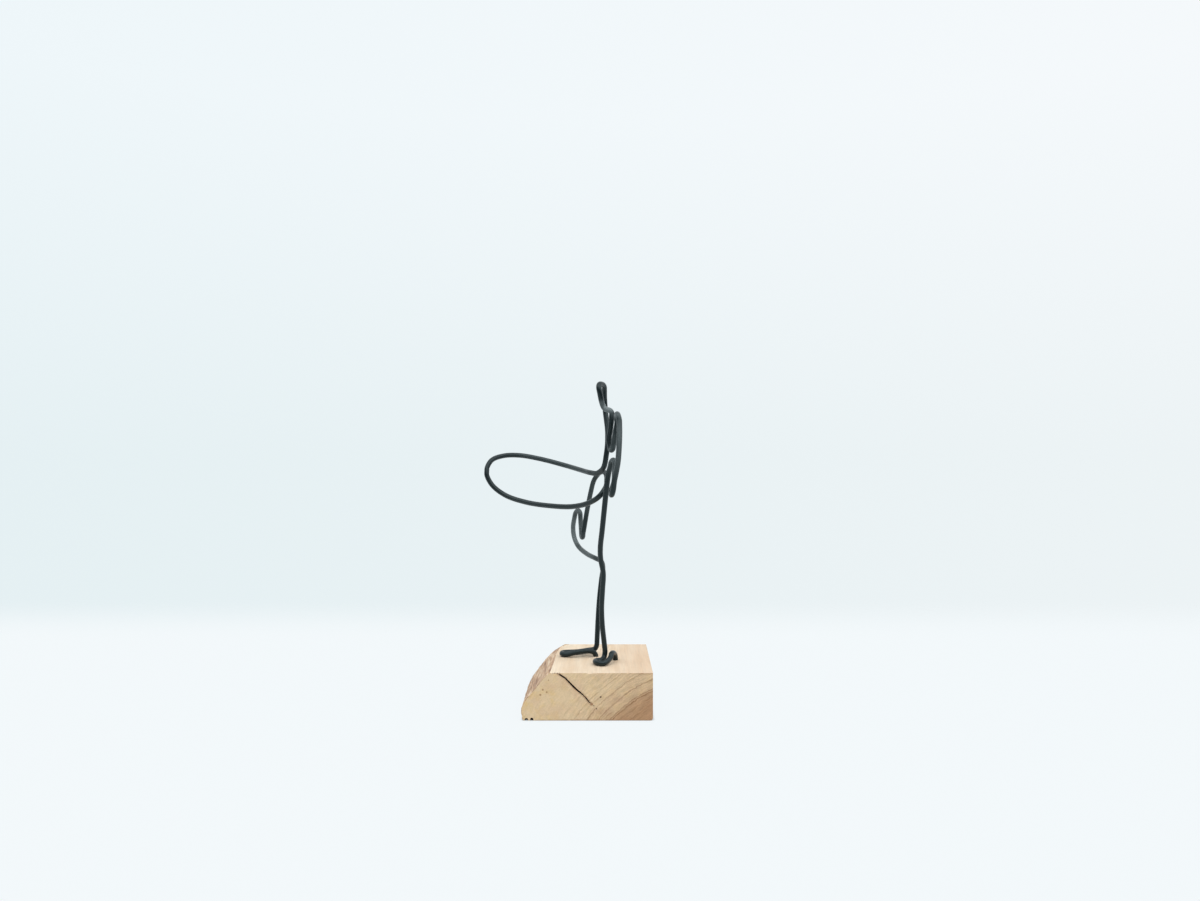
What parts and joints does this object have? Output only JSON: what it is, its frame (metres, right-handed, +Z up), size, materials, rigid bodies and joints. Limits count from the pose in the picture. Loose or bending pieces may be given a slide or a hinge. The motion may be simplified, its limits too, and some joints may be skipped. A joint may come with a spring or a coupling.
{
  "type": "wire sculpture",
  "caption": "Line-drawing figure bent from a single black wire, arms reaching forward in a long loop, standing with both wire ends let into a block of waney-edged pale wood.",
  "frame": {"origin": "middle of the wooden block's underside, on the table", "axes": "+Z up along the standing figure; -X is where the figure faces and reaches, over the waney side of the block; -Y is the end-grain face with the check, nearest the viewer"},
  "size_m": [0.0934, 0.1027, 0.1744],
  "materials": {
    "black_coated_wire": "satin black coating",
    "pale_sawn_wood": "bare sawn wood, end grain to the front, bark side to the left"
  },
  "bodies": {
    "root": {"wire_figure": "black_coated_wire", "wooden_base": "pale_sawn_wood"}
  },
  "joints": []
}
